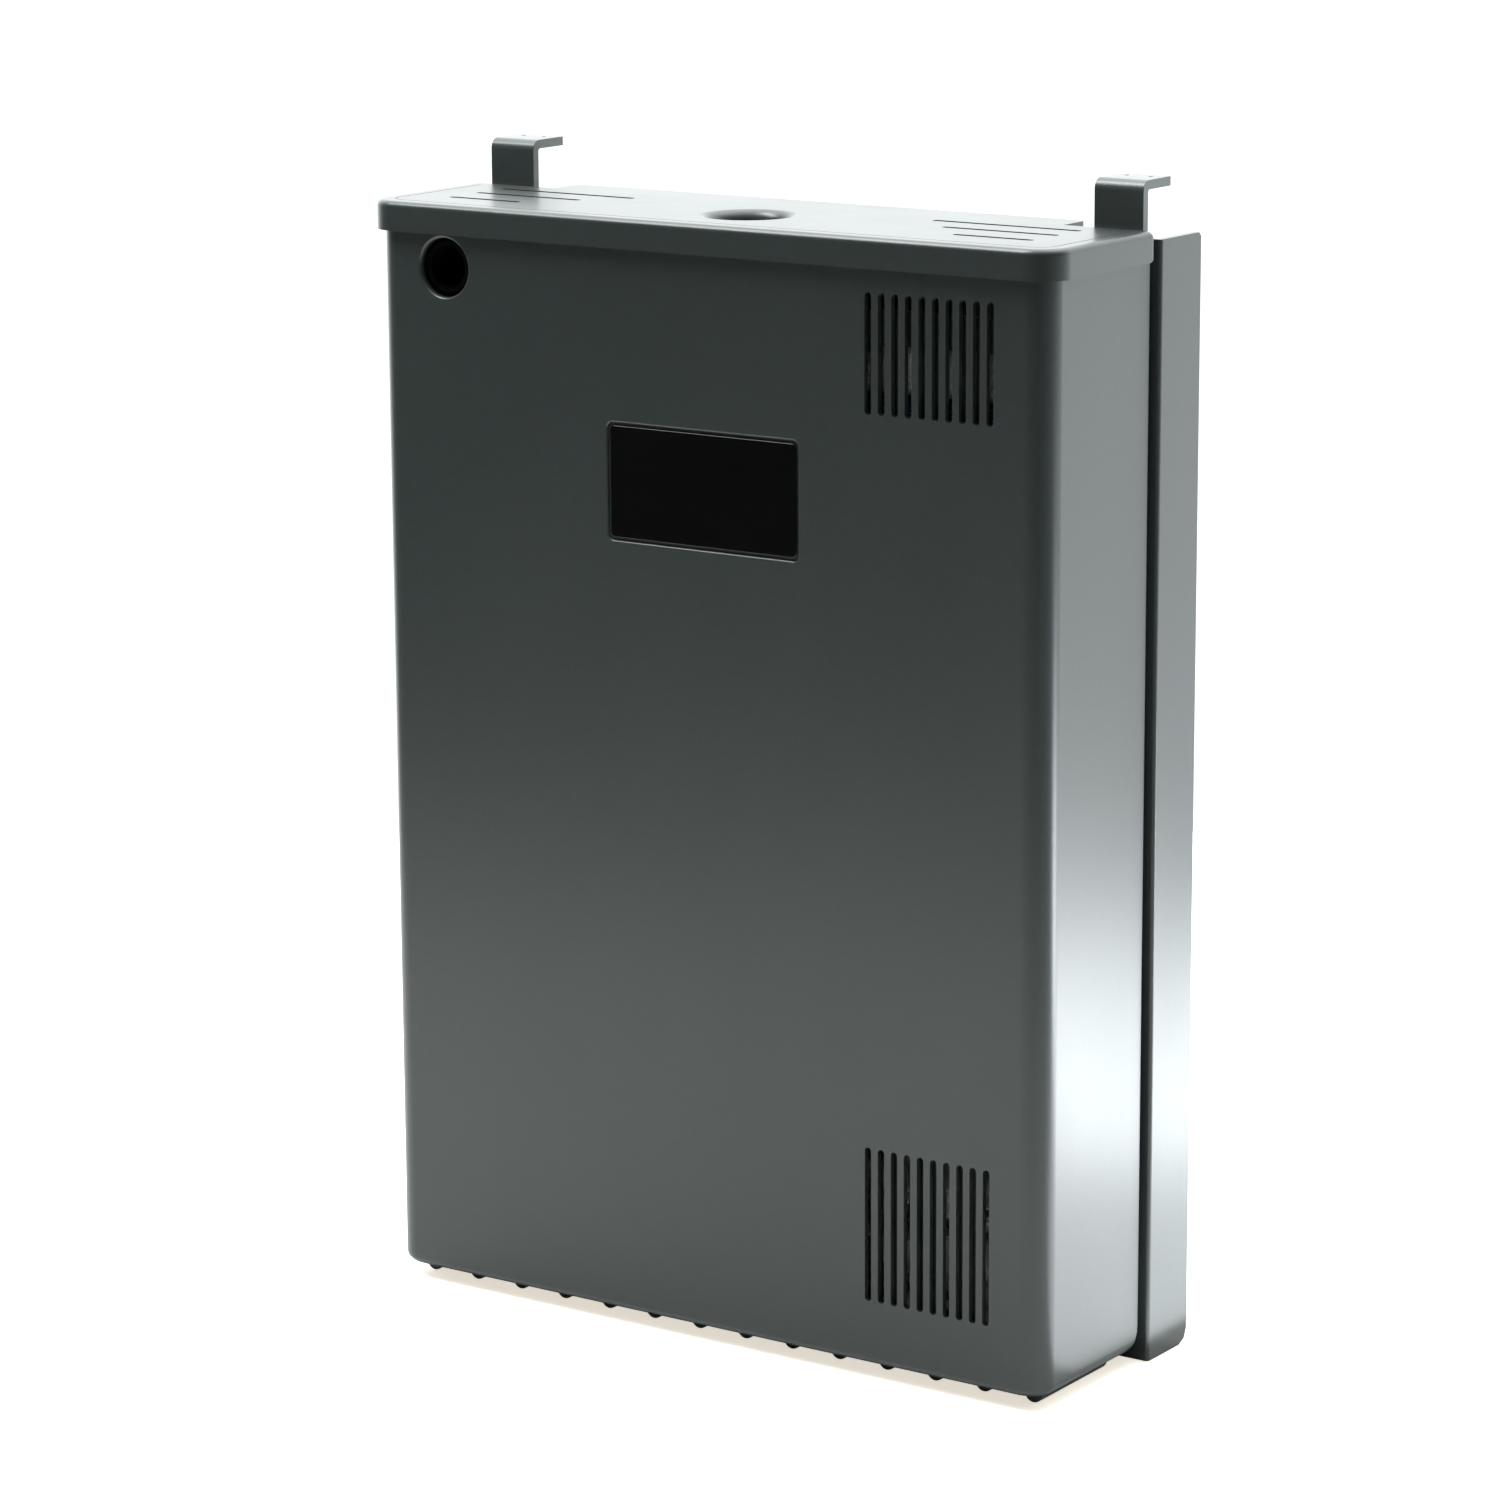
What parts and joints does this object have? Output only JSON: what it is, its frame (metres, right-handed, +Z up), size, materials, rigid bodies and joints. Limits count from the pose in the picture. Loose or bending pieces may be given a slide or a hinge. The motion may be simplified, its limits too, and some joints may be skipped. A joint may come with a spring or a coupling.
{
  "type": "internal power filter",
  "caption": "Slim box-shaped internal aquarium filter with lift-off lid, slotted inlet grilles, round outlet, hanger hooks, back frame, media baskets and submersible pump.",
  "frame": {"origin": "bottom centre of the whole object, on the surface it stands on", "axes": "+Z up, +X to the right seen from the front, +Y to the back, towards the tank's glass"},
  "size_m": [0.2452, 0.0844, 0.357],
  "materials": {
    "shell_plastic": "satin, very fine moulded texture",
    "label_gloss": "gloss",
    "clear_rubber": "translucent soft",
    "black_plastic": "satin",
    "basket_plastic": "satin",
    "grey_plastic": "satin",
    "ceramic": "porous fired ceramic",
    "bio_plastic": "satin",
    "sponge": "open-cell foam",
    "floss": "fibre floss",
    "lamination_steel": "stamped sheets",
    "copper_winding": "enamelled copper wire",
    "potting_resin": "cast resin",
    "black_rubber": "matt",
    "white_ceramic": "polished",
    "ferrite": "ground",
    "white_plastic": "satin"
  },
  "bodies": {
    "frame": {"mounting_frame": "shell_plastic", "suction_cup_lower_left": "clear_rubber", "suction_cup_upper_left": "clear_rubber", "suction_cup_lower_right": "clear_rubber", "suction_cup_upper_right": "clear_rubber", "hanger_hook_left": "shell_plastic", "hanger_hook_right": "shell_plastic"},
    "box": {"filter_box": "shell_plastic", "label_plate": "label_gloss", "media_divider": "shell_plastic", "pump_divider": "shell_plastic", "heater_clip_lower": "black_plastic", "heater_clip_upper": "black_plastic"},
    "lid": {"lid": "shell_plastic"},
    "basket_lower": {"basket_lower": "basket_plastic", "ceramic_rings": "ceramic"},
    "basket_middle": {"basket_middle": "basket_plastic", "bio_balls": "bio_plastic"},
    "basket_upper": {"basket_upper": "basket_plastic", "coarse_sponge": "sponge", "fine_pad": "floss"},
    "handle": {"basket_handle": "grey_plastic"},
    "pump": {"pump_housing": "black_plastic", "stator_core": "lamination_steel", "stator_coil": "copper_winding", "potting_cover": "potting_resin", "cable_gland": "black_rubber", "volute_cover": "black_plastic", "cover_seal": "black_rubber", "front_bush": "black_rubber", "rear_bush": "black_rubber", "rotor_shaft": "white_ceramic", "intake_strainer": "black_plastic", "pump_foot_front_left": "black_rubber", "pump_foot_rear_left": "black_rubber", "pump_foot_front_right": "black_rubber", "pump_foot_rear_right": "black_rubber", "riser_tube": "black_plastic", "outlet_elbow": "black_plastic"},
    "impeller": {"impeller": "white_plastic", "rotor_magnet": "ferrite"},
    "dial": {"flow_dial": "grey_plastic"}
  },
  "joints": [
    {"name": "box_lift", "type": "slide", "parent": "frame", "child": "box", "axis": [0, 0, 1], "range_m": [0, 0.0096]},
    {"name": "lid_lift", "type": "slide", "parent": "box", "child": "lid", "axis": [0, 0, 1], "range_m": [0, 0.42]},
    {"name": "basket_upper_lift", "type": "slide", "parent": "box", "child": "basket_upper", "axis": [0, 0, 1], "range_m": [0, 0.38]},
    {"name": "basket_middle_lift", "type": "slide", "parent": "box", "child": "basket_middle", "axis": [0, 0, 1], "range_m": [0, 0.356]},
    {"name": "basket_lower_lift", "type": "slide", "parent": "box", "child": "basket_lower", "axis": [0, 0, 1], "range_m": [0, 0.333]},
    {"name": "basket_handle_swing", "type": "hinge", "parent": "basket_upper", "child": "handle", "pos_m": [0.071, -0.0135, 0.3175], "axis": [-1, 0, 0], "range_deg": [0, 180]},
    {"name": "pump_lift", "type": "slide", "parent": "box", "child": "pump", "axis": [0, 0, 1], "range_m": [0, 0.342]},
    {"name": "impeller_spin", "type": "hinge", "parent": "pump", "child": "impeller", "pos_m": [-0.083, -0.0135, 0.0275], "axis": [1, 0, 0], "continuous": true},
    {"name": "flow_dial_turn", "type": "hinge", "parent": "pump", "child": "dial", "pos_m": [-0.1048, -0.0135, 0.0275], "axis": [-1, 0, 0], "range_deg": [0, 80]}
  ],
  "couplings": [
    {"joint": "basket_upper_lift", "follows": "lid_lift", "ratio": 0.9},
    {"joint": "basket_middle_lift", "follows": "lid_lift", "ratio": 0.845},
    {"joint": "basket_lower_lift", "follows": "lid_lift", "ratio": 0.79},
    {"joint": "pump_lift", "follows": "lid_lift", "ratio": 0.81}
  ]
}
